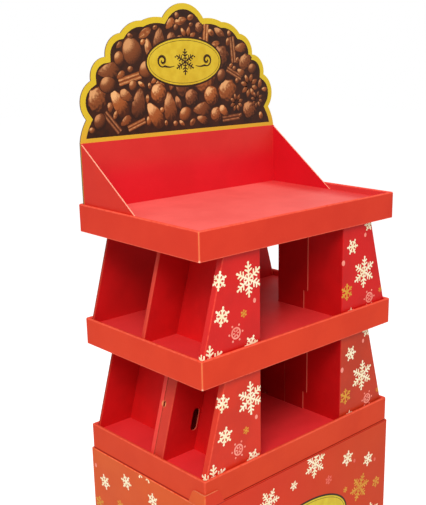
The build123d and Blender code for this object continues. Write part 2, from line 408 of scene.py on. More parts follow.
def divider_material(name, z0, y0, flange_colour, torn):
    """Cross sheet whose front face is at y0, with flanges in the side plane, whose lighter ink is painted
    light.

    Where it is torn, the paper around the notch is bare.
    """
    s = Surface(name, 0.55, 0.18)
    inset = side_inset(s, z0)
    from_sheet = s.y - (y0 + board / 2)
    in_sheet = abs(from_sheet) < board / 2 + 0.1
    jamb = (abs(s.ny) < 0.5) & in_sheet & (inset > 1.2)
    free_end = (abs(s.ny) > 0.5) & ~in_sheet
    raw = (abs(s.nz) > 0.6) | jamb | free_end
    along = s.x.where(in_sheet, s.y)
    across = from_sheet.where(in_sheet, inset - board / 2)
    # Folds paler: rubbed ink and painted highlight
    wear_and_highlight = fold_wear_and_highlight(s, 0.2)
    outer_face = (inset < board + 0.4) & (s.nx * s.x > 0.0)
    face = s.mix(outer_face, ink(s, red_inner_shaded, wear_and_highlight), ink(s, flange_colour, wear_and_highlight))
    if torn:
        across_nick, up_nick = s.y - nick_y, s.z - z0 - nick_z
        square = across_nick * across_nick + up_nick * up_nick
        face = s.mix(~square.ramp(20.0, 70.0) & outer_face, face, rgb(240, 150, 92))
    tint = s.mix(raw, face, corrugated(s, along, across, flange_edge))
    return finish_ink(s, tint, s.x.wave(flute_pitch), raw, 0.5)


def back_material(name, z0):
    """Flat back, rubbed along its slanted edges."""
    s = Surface(name, 0.55, 0.18)
    raw = abs(s.ny) < 0.5
    tint = ink(s, red_inner_shaded, ~side_inset(s, z0).ramp(1.5, 4.5) * 0.45)
    tint = s.mix(raw, tint, corrugated(s, s.x, s.y - back_mid_y, shaded_cut_edge))
    return finish_ink(s, tint, s.x.wave(flute_pitch), raw, 0.5)


def wedge_material(name, z0):
    """Inner wall: a sloped and a tunnel leaf folded over at the top."""
    s = Surface(name, 0.55, 0.15)
    height = s.z - z0
    top = height > 220.0
    raw = (abs(s.ny) > 0.5) | ((abs(s.nz) > 0.6) & ~top)
    in_leaf = s.out < tunnel_x + 0.5
    from_slope = (s.out + height * level_slope - wedge_foot_x) * (1 / hypot(1, level_slope))
    across = (s.out - (tunnel_x - board / 2)).where(in_leaf, from_slope + board / 2)
    edge = corrugated(s, s.y, across, shaded_cut_edge)
    edge = s.mix((s.ny < -0.5) & in_leaf, edge, rgb(214, 104, 84))
    # The tunnel leaf's darker ink is painted shade
    face = s.mix(in_leaf, ink(s, red_wall, top * 0.3), ink(s, shaded_red_leaf, top * 0.3))
    tint = s.mix(raw, face, edge)
    return finish_ink(s, tint, s.y.wave(flute_pitch), raw, 0.5)


def riser_material(name):
    """Back sheet and wings, with pale cut edges and painted shade on the outer rear corners."""
    s = Surface(name, 0.45, 0.2)
    raw = (s.nz > 0.3) | (s.nz < -0.6)
    at_wing = s.out > header_half - board - 0.2
    shaded_outer_corner = (s.ny > 0.5) & (s.out > header_half - 2 * board)
    along = s.y.where(at_wing, s.x)
    across = (s.out - (header_half - board / 2)).where(at_wing, s.y - riser_mid_y)
    hollow = abs(across - along.wave(flute_pitch) * 0.9).ramp(0.5, 0.9)
    edge = s.mix(s.noise(5.0, 3.0).ramp(0.3, 0.7), rgb(250, 176, 150), rgb(238, 148, 120))
    edge = s.mix(hollow * 0.5, edge, rgb(206, 112, 88))
    cut = s.mix(at_wing, rgb(214, 96, 60), edge)
    # Upright folds paler: painted highlight along the folds
    wear_and_highlight = (abs(s.nx * s.ny) > 0.12) * 0.3
    sheet_ink = s.mix((s.z - riser_z).ramp(50.0, 118.0), rgb(215, 26, 38), rgb(211, 50, 45))
    wing_ink = s.mix(s.x.ramp(-1.0, 1.0), rgb(214, 46, 26), rgb(208, 22, 35))
    tint = s.mix(at_wing, sheet_ink, wing_ink)
    tint = mottled(s, tint, 80.0, 0.7, 0.2, rgb(180, 14, 16), rgb(250, 120, 90))
    tint = s.mix(wear_and_highlight, tint, rgb(240, 104, 84))
    # Dark outer rear corner: painted shade
    tint = s.mix(shaded_outer_corner, tint, rgb(96, 26, 20))
    tint = s.mix(raw, tint, cut)
    return finish_ink(s, tint, s.x.wave(flute_pitch), raw)


def header_material(name):
    """Yellow border, warmer at its foot, with a dark cut edge and a bare rear face."""
    s = Surface(name, 0.45, 0.2)
    raw = abs(s.ny) < 0.5
    rear = s.ny > 0.5
    paper = s.mix(s.noise(60.0, 3.0), rgb(216, 190, 44), rgb(208, 178, 36))
    paper = s.mix(~(s.z - border_z).ramp(6.0, 60.0) * 0.7, paper, rgb(216, 164, 50))
    paper = s.mix(s.noise(2.2).ramp(0.6, 0.8) * 0.3, paper, rgb(232, 206, 96))
    back = s.mix(s.noise(30.0, 4.0), kraft, rgb(170, 128, 86))
    tint = s.mix(rear, paper, back)
    edge = corrugated(s, s.x, s.y - (header_y + board / 2))
    edge = s.mix(s.noise(6.0) * 0.4 + 0.6, edge, rgb(64, 38, 20))
    tint = s.mix(raw, tint, edge)
    return finish_ink(s, tint, s.x.wave(flute_pitch), raw)


def base_material(name):
    """Base: printed outside and bare inside, rubbed at corners, foot and top edge; painted light on the left
    face, painted shade under the tray along the front and back, and a painted highlight on the side top
    edges.
    """
    s = Surface(name, 0.45, 0.2)
    above = s.z > base_h + 0.3
    foot = (s.nz < -0.5) & (s.z < 1.0)
    raw = foot | (above & (abs(s.nz) > 0.3))
    wall = board - 0.4
    in_walls = (s.out < base_x - wall) & (abs(s.y) < base_y - wall)
    inside = in_walls & (s.z < base_h - wall)
    spots = s.noise(12.0, 3.0).ramp(0.32, 0.62)
    corner = abs(s.nx * s.ny).ramp(0.12, 0.4) & spots
    top_line = (s.z > base_h - 1.6) & (s.z < base_h + 0.2) & (abs(s.nz) < 0.9)
    low_scuff = ~s.z.ramp(0.0, 14.0) & s.noise(22.0, 4.0).ramp(0.45, 0.65)
    on_side = abs(s.nx) > 0.3
    # On the sides the top line is rubbed and has a painted highlight of the fold
    wear_and_highlight = corner * 0.25 | (top_line & spots & on_side) * 0.6 | low_scuff * 0.6
    tint = s.mix(s.x.ramp(*tone_turn), rgb(214, 52, 20), rgb(208, 62, 12))
    # Left face in a lighter ink: painted light
    tint = s.mix(s.nx < -0.5, tint, rgb(219, 87, 24))
    tint = mottled(s, tint, 90.0, 0.75, 0.2, rgb(188, 40, 20), rgb(250, 140, 90))
    tint = s.mix(wear_and_highlight, tint, rgb(244, 146, 104))
    # Dark line under the tray on the front and back: painted shade
    tint = s.mix(top_line & ~on_side, tint, rgb(160, 26, 16))
    tint = s.mix(inside, tint, kraft)
    edge = s.mix(above * 0.85, wall_edge(s, base_x, base_y), rgb(210, 104, 60))
    tint = s.mix(raw, tint, edge)
    return finish_ink(s, tint, upright_flutes(s), raw)


def kraft_material(name):
    """Bare brown board."""
    s = Surface(name, 0.75, 0.3)
    tint = s.mix(s.noise(25.0, 4.0), kraft, rgb(166, 124, 82))
    tint = s.mix(s.noise(1.6).ramp(0.6, 0.75) * 0.5, tint, rgb(206, 170, 128))
    return s.finish(tint, s.x.wave(flute_pitch) * 0.02 + s.noise(1.5) * 0.03)


# Each tray: skirt, floor and floor's end colour (painted shade beside the right rim), and whether it is one
# of the stacked ones
trays = (
    # The top tray's pinker floor is painted sheen
    ("tray_top", rgb(217, 59, 37), rgb(226, 93, 87), rgb(209, 58, 56), True),
    ("tray_middle", rgb(222, 65, 36), rgb(228, 54, 54), rgb(228, 54, 54), True),
    ("tray_bottom", rgb(217, 69, 37), rgb(234, 50, 53), rgb(234, 50, 53), False),
)
for tray_name, *looks in trays:
    dress(tray_material(f"ink_{tray_name}", low(tray_name, Z), *looks), tray_name)
# Left and right inks of each front; the darker right one is painted light falloff
front_falloff_tones = {
    "upper": (rgb(214, 26, 22), rgb(212, 16, 14)),
    "lower": (rgb(217, 49, 24), rgb(198, 54, 20)),
}
for level, tones in front_falloff_tones.items():
    dress(front_material(f"front_ink_{level}", shelf_z[level], *tones), f"front_panel_{level}")

# Each divider: its level, where its front face is, and its flanges' colour
dividers = (
    ("divider_upper", "upper", low("divider_upper", Y), lit_red_flange),
    ("front_divider_lower", "lower", low("front_divider_lower", Y), lit_red_flange),
    ("rear_divider_lower", "lower", high("rear_divider_lower", Y) - board, brighter_lit_flange),
)
for divider_name, level, sheet_y, tone in dividers:
    torn = level == "lower"
    look = divider_material(f"ink_{divider_name}", shelf_z[level], sheet_y, tone, torn)
    dress(look, divider_name)
for level in ("upper", "lower"):
    dress(back_material(f"ink_back_{level}", shelf_z[level]), f"back_panel_{level}")
    walls = [name for name in nodes if name.startswith("wedge") and level in name]
    dress(wedge_material(f"ink_walls_{level}", shelf_z[level]), *walls)
dress(riser_material("ink_riser"), "riser")
dress(header_material("print_header"), "header_card")
dress(base_material("ink_base"), "base_box")
dress(kraft_material("kraft_support"), "base_support_long", "base_support_cross")


def print_material(name, colour, second):
    """Flat ink of one colour, a little uneven."""
    s = Surface(name, 0.4, 0.2)
    tint = s.mix(s.noise(18.0, 3.0).ramp(0.3, 0.7), colour, second)
    tint = s.mix(s.noise(1.8).ramp(0.6, 0.8) * 0.4, tint, second)
    return s.finish(tint, s.noise(1.2) * 0.02)


inks = {
    "cream": print_material("ink_cream", rgb(255, 246, 214), rgb(250, 236, 190)),
    "gold": print_material("ink_gold", rgb(224, 164, 54), rgb(212, 144, 44)),
    "pink": print_material("ink_pink", rgb(248, 162, 142), rgb(242, 136, 118)),
    "rose": print_material("ink_rose", rgb(238, 118, 98), rgb(230, 98, 82)),
}
field_ink = print_material("ink_field", rgb(60, 28, 12), rgb(42, 19, 8))
brown_ink = print_material("ink_brown", rgb(58, 32, 12), rgb(46, 24, 8))
yellow_ink = print_material("ink_yellow", rgb(213, 187, 49), rgb(203, 173, 38))
plaque_ink = print_material("ink_plaque", rgb(222, 201, 48), rgb(214, 185, 40))


def motif_material(name):
    """Painted nuts, spices and leaves: shade and tone come from each shape."""
    s = Surface(name, 0.45, 0.2)
    shade = s.attribute("shade")
    tone = s.attribute("tone")
    grain = s.noise(3.0, 3.0) * 0.34 - 0.17
    lit = shade + grain
    dark = s.mix(lit.ramp(0.0, 0.55), rgb(42, 20, 9), rgb(106, 56, 28))
    dark = s.mix(lit.ramp(0.5, 0.95), dark, rgb(194, 134, 86))
    warm = s.mix(lit.ramp(0.0, 0.5), rgb(70, 32, 12), rgb(160, 88, 40))
    warm = s.mix(lit.ramp(0.5, 0.95), warm, rgb(236, 184, 122))
    tint = s.mix(tone, dark, warm)
    return s.finish(tint, s.noise(1.2) * 0.02)


motif_ink = motif_material("ink_motif")


# Prints

class Print:
    """Flat shapes in a face's own two directions, laid on it as one thin closed mesh."""

    def __init__(self):
        self.bm = bmesh.new()
        self.shade = self.bm.verts.layers.float.new("shade")
        self.tone = self.bm.verts.layers.float.new("tone")

    def shape(self, points, shade=0.5, tone=0.5):
        """Add a polygon; shade is one number or one for each point."""
        verts = [self.bm.verts.new((u, v, 0)) for u, v in points]
        for number, vert in enumerate(verts):
            vert[self.shade] = shade[number] if isinstance(shade, list) else shade
            vert[self.tone] = tone
        self.bm.faces.new(verts)

    def join(self):
        bmesh.ops.remove_doubles(self.bm, verts=self.bm.verts, dist=0.01)

    def cut(self, point, direction, clear):
        """Cut along a line; where clear is true, what lies in the direction goes."""
        geometry = [*self.bm.verts, *self.bm.edges, *self.bm.faces]
        bmesh.ops.bisect_plane(
            self.bm,
            geom=geometry,
            dist=0.001,
            plane_co=(*point, 0),
            plane_no=(*direction, 0),
            clear_outer=clear,
        )

    def lay(self, name, place, material, layer=0):
        """Lay the shapes through place(u, v), which gives a point and the normal there.

        Each layer stands 0.1 above the last, and all of them reach down into the board.
        """
        self.bm.normal_update()
        bmesh.ops.triangulate(self.bm, faces=self.bm.faces)
        top_lift = 0.1 * (layer + 1)
        foot_lift = -0.04
        sheet = bmesh.new()
        shade = sheet.verts.layers.float.new("shade")
        tone = sheet.verts.layers.float.new("tone")
        tops = {}
        feet = {}
        for vert in self.bm.verts:
            point, normal = place(vert.co.x, vert.co.y)
            for made, lift in ((tops, top_lift), (feet, foot_lift)):
                new = sheet.verts.new((point + normal * lift) * MM)
                new[shade] = vert[self.shade]
                new[tone] = vert[self.tone]
                made[vert] = new
        for face in self.bm.faces:
            sheet.faces.new([tops[v] for v in face.verts])
            sheet.faces.new([feet[v] for v in reversed(face.verts)])
        for edge in self.bm.edges:
            if len(edge.link_faces) == 1:
                a, b = edge.verts
                sheet.faces.new([tops[a], feet[a], feet[b], tops[b]])
        bmesh.ops.recalc_face_normals(sheet, faces=sheet.faces)
        mesh = bpy.data.meshes.new(name)
        sheet.to_mesh(mesh)
        sheet.free()
        self.bm.free()
        mesh.materials.append(material)
        piece = added(name, mesh)
        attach(piece, "root")


def turned(points, angle, size, u, v, flip=1):
    c, s = cos(angle) * size, sin(angle) * size
    return [(u + x * c - flip * y * s, v + x * s + flip * y * c) for x, y in points]


def barb(root, half_stem, length, width):
    """Side branch of a crystal's half arm, drawn outwards at 60 degrees."""
    tip_x = root + length * cos(pi / 3)
    tip_y = half_stem + length * sin(pi / 3)
    end_x = root + width / sin(pi / 3)
    return [
        (root, half_stem),
        (tip_x - width * 0.10, tip_y - width * 0.25),
        (tip_x + width * 0.30, tip_y + width * 0.12),
        (tip_x + width * 0.85, tip_y - width * 0.45),
        (end_x, half_stem),
    ]


def half_arm(half_stem, barbs, tip):
    """Half of one of six arms, from the centre to its tip at radius 1."""
    points = [(0, 0), (half_stem / tan(pi / 6), half_stem)]
    for root, length, width in barbs:
        points += barb(root, half_stem, length, width)
    return points + [(1 - tip * 1.6, half_stem), (1 - tip, tip), (1 - tip * 0.25, tip * 0.7), (1, 0)]


arms = {
    "fern": half_arm(0.052, [(0.21, 0.13, 0.08), (0.40, 0.25, 0.10), (0.62, 0.20, 0.10)], 0.078),
    "star": half_arm(0.10, [(0.42, 0.21, 0.18)], 0.13),
    "frost": half_arm(0.10, [(0.52, 0.24, 0.16)], 0.13),
}


def crystal(sheet, arm, u, v, radius, turn):
    for number in range(6):
        angle = radians(turn) + number * pi / 3
        for flip in (1, -1):
            sheet.shape(turned(arm, angle, radius, u, v, flip))


def disc(sheet, u, v, radius, stretch=1.0):
    sides = 12
    turns = [tau * n / sides for n in range(sides)]
    sheet.shape([(u + radius * cos(a), v + radius * stretch * sin(a)) for a in turns])


def band(sheet, inner, outer, sides):
    """Ring between two closed curves, each a function of a turn from 0 to 1."""
    for n in range(sides):
        a, b = n / sides, (n + 1) / sides
        sheet.shape([inner(a), outer(a), outer(b), inner(b)])


def ellipse(u, v, half_u, half_v):
    return lambda turn: (u + half_u * cos(turn * tau), v + half_v * sin(turn * tau))


def ringed(sheet, u, v, radius):
    """Small ring with six petals inside and six dots outside."""
    inner, outer = radius * 0.52, radius * 0.72
    band(sheet, ellipse(u, v, inner, inner), ellipse(u, v, outer, outer), 24)
    petal = [(0.12, 0), (0.24, 0.09), (0.44, 0.09), (0.48, 0), (0.44, -0.09), (0.24, -0.09)]
    for number in range(6):
        angle = radians(62) + number * pi / 3
        sheet.shape(turned(petal, angle, radius, u, v))
        disc(sheet, u + radius * cos(angle), v + radius * sin(angle), radius * 0.13)


def ornament(sheet, kind, u, v, radius, turn):
    if kind == "dot":
        disc(sheet, u, v, radius, 1.3)
    elif kind == "ring":
        ringed(sheet, u, v, radius)
    else:
        crystal(sheet, arms[kind], u, v, radius, turn)


# Ornaments by kind and ink: place along the face and height, radius, turn in degrees
panel_print = {
    ("fern", "cream"): [(-154, 151, 38, 92), (-261, 1, 38, 88), (214, 95, 38, 88)],
    ("star", "cream"): [
        (-232, 163, 20, 80), (-227, 90, 21, 78), (-148, 14, 19, 66),
        (227, 205, 16, 0), (170, 162, 19, 120), (170, 7, 12, 90),
    ],
    ("frost", "gold"): [(-168, 83, 9, 90), (154, 59, 20, 90), (277, 40, 7, 90)],
    ("ring", "pink"): [(-190, 47, 18, 0), (236, 29, 18, 0)],
    ("dot", "pink"): [(-138, 104, 4, 0), (215, 182, 4, 0), (140, 129, 5, 0)],
}
base_front_print = {
    ("fern", "cream"): [
        (32, 338, 35, 82), (-119, 302, 33, 60), (-238, 92, 36, 84),
        (-20, 40, 33, 90), (244, 118, 34, 92),
    ],
    ("star", "cream"): [
        (148, 309, 20, 80), (227, 278, 19, 82), (-39, 311, 12, 70), (-228, 318, 20, 84),
        (-250, 224, 19, 70), (-156, 56, 20, 96), (62, 66, 19, 74), (232, 42, 19, 82),
    ],
    ("fern", "gold"): [(197, 213, 36, 66)],
    ("frost", "gold"): [(262, 202, 15, 84), (142, 228, 8, 90), (-214, 178, 20, 90), (176, 82, 20, 90)],
    ("ring", "pink"): [(-184, 272, 19, 0), (118, 40, 18, 0)],
    ("dot", "pink"): [(-196, 132, 4, 0), (196, 146, 4, 0)],
    ("frost", "pink"): [(-92, 70, 13, 80)],
    ("frost", "rose"): [(80, 279, 12, 95)],
    ("dot", "rose"): [(174, 293, 4, 0), (254, 267, 4, 0)],
}
base_side_print = {
    ("fern", "cream"): [(1, 381, 36, 60), (-110, 268, 34, 88), (44, 186, 36, 94), (152, 66, 33, 86)],
    ("star", "cream"): [
        (152, 288, 19, 74), (68, 320, 19, 66), (-27, 312, 18, 88), (-164, 196, 19, 78),
        (128, 148, 20, 82), (70, 78, 18, 70), (-48, 44, 19, 92),
    ],
    ("frost", "gold"): [(178, 224, 17, 90), (96, 252, 12, 90), (-30, 128, 19, 90), (-150, 44, 18, 90)],
    ("ring", "pink"): [(10, 262, 18, 0), (-118, 108, 18, 0)],
    ("dot", "pink"): [(186, 318, 4, 0), (6, 84, 4, 0)],
    ("frost", "pink"): [(-60, 206, 13, 84)],
}


def laid_out(prints, cuts, place, name):
    """Lay ornaments on one face, one mesh for each ink."""
    for ink_name, material in inks.items():
        sheet = Print()
        for (kind, ornament_ink), spots in prints.items():
            if ornament_ink == ink_name:
                for spot in spots:
                    ornament(sheet, kind, *spot)
        sheet.join()
        for cut in cuts:
            sheet.cut(*cut)
        if len(sheet.bm.faces):
            sheet.lay(f"{name}_{ink_name}", place, material)


fold_arc = fold_r * pi / 2
side_out = Vector((1, 0, level_slope)).normalized()


def around_fold(flat, distance, outward):
    """Bend a point on the front face around a fold; distance is to the fold's sharp edge."""
    beyond = fold_r - distance
    if beyond <= 0:
        return flat, Vector((0, -1, 0))
    tangent = flat - outward * beyond
    if beyond >= fold_arc:
        return tangent + outward * fold_r + Vector((0, fold_r + beyond - fold_arc, 0)), outward
    angle = beyond / fold_r
    shift = outward * sin(angle) + Vector((0, 1 - cos(angle), 0))
    return tangent + shift * fold_r, Vector((0, -cos(angle), 0)) + outward * sin(angle)


def on_panel(z0):
    """Place on a level's front panel, bent around its door and side folds."""
    def place(u, v):
        side = 1 if u > 0 else -1
        flat = Vector((u, front_y, z0 + v))
        to_side = (foot_half - abs(u) - level_slope * v) / hypot(1, level_slope)
        to_door = abs(u) - tunnel_x
        if to_door < to_side:
            return around_fold(flat, to_door, Vector((-side, 0, 0)))
        return around_fold(flat, to_side, Vector((side * side_out.x, 0, side_out.z)))
    return place


def panel_cuts():
    """Lines along which the prints bend, and the edges where they end."""
    hem = 0.4
    bends = 4
    cuts = [((0, hem), (0, -1), True), ((0, level_h - hem), (0, 1), True)]
    for side in (1, -1):
        out = (side * side_out.x, side_out.z)
        for step in range(bends + 1):
            inside = fold_r - fold_arc * step / bends
            cuts.append(((side * (tunnel_x + inside), 0), (-side, 0), False))
            cuts.append(((side * foot_half - out[0] * inside, -out[1] * inside), out, False))
        reach = return_d - fold_r + fold_arc - fold_r - 0.5
        cuts.append(((side * foot_half + out[0] * reach, out[1] * reach), out, True))
    return cuts


panel_shift = {"upper": -8, "lower": -5}
for level, shift in panel_shift.items():
    moved = {key: [(u + shift, *rest) for u, *rest in spots] for key, spots in panel_print.items()}
    laid_out(moved, panel_cuts(), on_panel(shelf_z[level]), f"flakes_{level}")


def flat_face(middle, right, normal):
    """Place on an upright plane: u runs to the right of its middle, v is the height."""
    def place(u, v):
        return middle + right * u + Vector((0, 0, v)), normal
    return place


def base_face(prints, half, middle, right, normal, name):
    """Lay prints on one face of the base, clear of its foot, top fold and corners."""
    foot, top, edge = 1.0, base_h - 2.6, half - 4.5
    cuts = [((0, foot), (0, -1), True), ((0, top), (0, 1), True)]
    cuts += [((edge, 0), (1, 0), True), ((-edge, 0), (-1, 0), True)]
    laid_out(prints, cuts, flat_face(middle, right, normal), name)


along_x, along_y = Vector((1, 0, 0)), Vector((0, 1, 0))
front_face = Vector((0, -base_y, 0))
left_face = Vector((-base_x, 0, 0))
base_face(base_front_print, base_x, front_face, along_x, -along_y, "flakes_base_front")
base_face(base_front_print, base_x, -front_face, -along_x, along_y, "flakes_base_back")
base_face(base_side_print, base_y, left_face, along_y, -along_x, "flakes_base_left")
base_face(base_side_print, base_y, -left_face, -along_y, along_x, "flakes_base_right")


# Oval plaques

def stroke(sheet, points, widths):
    """Tapered line through the points."""
    for start, end, first, second in zip(points, points[1:], widths, widths[1:]):
        start, end = Vector(start), Vector(end)
        along = end - start
        across = Vector((-along.y, along.x)).normalized()
        right = [start - across * first, end - across * second]
        left = [end + across * second, start + across * first]
        sheet.shape(right + left)


def scroll(sheet, u, v, size, side):
    """Flourish: a line that leaves level and winds into a spiral."""
    steps = 28
    points = []
    widths = []
    for step in range(steps + 1):
        share = step / steps
        angle = -pi / 2 + share * 2.6 * pi
        radius = size * 0.34 * (1 - share) ** 0.8 + size * 0.04
        points.append((u + side * (size + radius * cos(angle)), v + size * 0.1 + radius * sin(angle)))
        widths.append(size * (0.035 + 0.05 * sin(pi * share)))
    lead = [(u + side * size * (0.05 + 0.19 * n), v - size * (0.24 + 0.06 * sin(n * 0.8))) for n in range(5)]
    lead_widths = [size * (0.015 + 0.012 * n) for n in range(5)]
    stroke(sheet, lead + points, lead_widths + widths)


def plaque(name, place, u, v, half_u, half_v, slot, colour, layer):
    """Oval with an outline, a thin inner line and an ornament, from the given layer up."""
    rim, gap, line = 4.6, 4.0, 1.0
    sides = 72
    for part, inset, material, step in (("outline", 0.0, brown_ink, 0), ("oval", rim, colour, 1)):
        oval = Print()
        curve = ellipse(u, v, half_u - inset, half_v - inset)
        oval.shape([curve(n / sides) for n in range(sides)])
        oval.lay(f"{name}_{part}", place, material, layer + step)
    lines = Print()
    outside = rim + gap
    inside = outside + line
    inner = ellipse(u, v, half_u - inside, half_v - inside)
    outer = ellipse(u, v, half_u - outside, half_v - outside)
    band(lines, inner, outer, sides)
    crystal(lines, arms["fern"], u, v, half_v * 0.52, 90.0)
    for side in (1, -1):
        scroll(lines, u + side * half_v * 0.52, v, half_u * 0.32, side)
        disc(lines, u + side * half_v * 0.50, v + half_v * 0.2, half_v * 0.035)
    lines.lay(f"{name}_ornament", place, brown_ink, layer + 2)


on_header = flat_face(Vector((0, header_y, 0)), along_x, -along_y)
on_base = flat_face(front_face, along_x, -along_y)
plaque_z = border_z + 162
header_oval = (1.5, plaque_z, 113, 56.5)
base_oval = (0, 180, 148, 75)
plaque("plaque_header", on_header, *header_oval, "header_print", yellow_ink, 3)
plaque("plaque_base", on_base, *base_oval, "printed_base", plaque_ink, 2)


# Header print

border_w = 13.0
strip_h = 8.5


def arc_points(start, end, bulge, count):
    """Points of an arc through start and end, without its start."""
    start, end = Vector(start), Vector(end)
    chord = end - start
    out = Vector((chord.y, -chord.x)) * bulge
    turn = 4 * atan(2 * bulge)
    radius = chord.length / 2 / sin(turn / 2)
    centre = (start + end) / 2 + out - out.normalized() * radius
    points = []
    for n in range(1, count + 1):
        points += turned([start - centre], turn * n / count, 1, centre.x, centre.y)
    return points


def dome(foot_z):
    """The header's outline above a height, from its right foot over the crown."""
    right = [(header_half, foot_z)]
    right += [(header_half * x, border_z + header_h * z) for x, z, _ in scallops]
    bulges = [bulge for _, _, bulge in scallops]
    left = [(-x, z) for x, z in reversed(right)]
    starts = right + left[:-1]
    ends = right[1:] + left
    outline = [right[0]]
    for start, end, bulge in zip(starts, ends, bulges + [crown_bulge] + bulges[::-1]):
        outline += arc_points(start, end, bulge, 10)
    return outline


def distance_to(points, u, v):
    """Distance from a place to a closed outline."""
    place = Vector((u, v))
    nearest = float("inf")
    for start, end in zip(points, points[1:] + points[:1]):
        start, along = Vector(start), Vector(end) - Vector(start)
        share = min(1.0, max(0.0, (place - start).dot(along) / along.length_squared))
        nearest = min(nearest, (place - start - along * share).length)
    return nearest


def inset_outline(points, distance):
    """Closed outline moved inwards; it runs anticlockwise. Points that overlap are left out."""
    slack = 0.3
    made = []
    for before, here, after in zip(points[-1:] + points[:-1], points, points[1:] + points[:1]):
        first = (Vector(here) - Vector(before)).normalized()
        second = (Vector(after) - Vector(here)).normalized()
        normal = Vector((-first.y - second.y, first.x + second.x)).normalized()
        reach = distance / max(0.55, normal.dot(Vector((-first.y, first.x))))
        u, v = here[0] + normal.x * reach, here[1] + normal.y * reach
        if distance_to(points, u, v) > distance - slack:
            made.append((u, v))
    return made


def is_inside(points, u, v):
    inside = False
    for (x0, y0), (x1, y1) in zip(points, points[1:] + points[:1]):
        if (y0 > v) != (y1 > v) and u < x0 + (v - y0) / (y1 - y0) * (x1 - x0):
            inside = not inside
    return inside


field_foot = border_z + strip_h - border_w
field = inset_outline(dome(field_foot), border_w)
sheet = Print()
sheet.shape(field)
sheet.lay("header_field", on_header, field_ink, 0)

light = Vector((-0.45, 0.55, 0.70)).normalized()


def lit(nu, nv):
    """Brightness of a rounded thing at a place where its surface leans (nu, nv)."""
    body, gloss, sharpness = 0.72, 0.5, 14
    flat = min(0.98, hypot(nu, nv))
    facing = max(0.0, Vector((nu, nv, sqrt(1 - flat * flat))).dot(light))
    return facing * body + gloss * facing ** sharpness


def blob(sheet, outline, u, v, size, angle, tone, relief, rings=(1.0, 0.88, 0.7, 0.48, 0.25)):
    """Rounded thing: rings of its outline, shaded as if lit from the upper left.

    Its rim is dark, which sets it off from its neighbours.
    """
    count = 28
    rim_lean = 0.92
    unit = [outline(n / count) for n in range(count)]
    loops = []
    for ring in rings:
        curve = [(x * ring, y * ring) for x, y in unit]
        leans = turned(curve, angle, rim_lean, 0, 0)
        rim_shade = 0.5 if ring == rings[0] else 0.0
        shades = [lit(*lean) + relief(ring, n / count) - rim_shade for n, lean in enumerate(leans)]
        loops.append((turned(curve, angle, size, u, v), shades))
    for (outer, outer_shade), (inner, inner_shade) in zip(loops, loops[1:]):
        for n in range(count):
            m = (n + 1) % count
            shades = [outer_shade[n], outer_shade[m], inner_shade[m], inner_shade[n]]
            sheet.shape([outer[n], outer[m], inner[m], inner[n]], shades, tone)
    sheet.shape(loops[-1][0], loops[-1][1], tone)


def round_outline(turn):
    return cos(turn * tau), sin(turn * tau)


def oval_outline(turn):
    return cos(turn * tau), 0.62 * sin(turn * tau)


def almond_outline(turn):
    a = turn * tau
    return cos(a), 0.52 * sin(a) * (1 - 0.38 * cos(a))


def nut_outline(turn):
    a = turn * tau
    return cos(a) * (1 + 0.10 * cos(a) ** 6), 0.86 * sin(a)


def walnut_outline(turn):
    a = turn * tau
    lobes = 1 + 0.05 * sin(7 * a) + 0.04 * cos(11 * a)
    return 0.95 * cos(a) * lobes, 0.80 * sin(a) * lobes


def leaf_outline(turn):
    a = turn * tau
    return cos(a), 0.44 * sin(a) * abs(sin(a)) ** 0.35


def smooth(ring, turn):
    return 0.0


def dented(ring, turn):
    return -0.25 if ring < 0.3 else 0.0


def furrowed(ring, turn):
    return 0.13 * sin(turn * tau * 9 + ring * 7) * ring


def wrinkled(ring, turn):
    return 0.22 * sin(turn * tau * 6 + ring * 13) * (0.4 + ring * 0.6)


def veined(ring, turn):
    half = 0.14 if turn < 0.5 else -0.06
    return half + 0.12 * sin(ring * 26 + abs(turn - 0.5) * 18)


def slab(sheet, u, v, size, angle, tone):
    """Rolled bark stick: a long body shaded across, with two scrolled edges."""
    across = [-0.29, -0.23, -0.14, -0.06, 0.0, 0.04, 0.12, 0.21, 0.29]
    shades = [0.15, 0.55, 0.72, 0.45, 0.08, 0.50, 0.78, 0.48, 0.12]
    cells = 9
    for i in range(cells):
        for j in range(len(across) - 1):
            x0, x1 = -1 + 2 * i / cells, -1 + 2 * (i + 1) / cells
            corners = [(x0, across[j]), (x1, across[j]), (x1, across[j + 1]), (x0, across[j + 1])]
            dim = 0.06 * sin(i * 2.3 + j)
            near = [shades[j] + dim, shades[j] - dim, shades[j + 1] - dim, shades[j + 1] + dim]
            sheet.shape(turned(corners, angle, size, u, v), near, tone)


def anise(sheet, u, v, size, angle, tone):
    """Eight-pointed pod with a seed in each arm."""
    for n in range(8):
        turn = angle + n * pi / 4
        cx, cy = u + size * 0.58 * cos(turn), v + size * 0.58 * sin(turn)
        blob(sheet, almond_outline, cx, cy, size * 0.38, turn, tone, smooth, (1.0, 0.7, 0.35))


kinds = {
    "bean": (oval_outline, dented),
    "walnut": (walnut_outline, wrinkled),
    "nut": (nut_outline, smooth),
    "almond": (almond_outline, furrowed),
    "leaf": (leaf_outline, veined),
    "round": (round_outline, wrinkled),
}


def draw(sheet, kind, u, v, size, angle, tone):
    if kind == "stick":
        slab(sheet, u, v, size, angle, tone)
    elif kind == "anise":
        anise(sheet, u, v, size, angle, tone)
    else:
        outline, relief = kinds[kind]
        blob(sheet, outline, u, v, size, angle, tone, relief)


# Half width of the motifs that are narrower than a circle, as a share of their half length
slim = {"stick": 0.31, "almond": 0.50, "leaf": 0.46, "bean": 0.64, "walnut": 0.92}


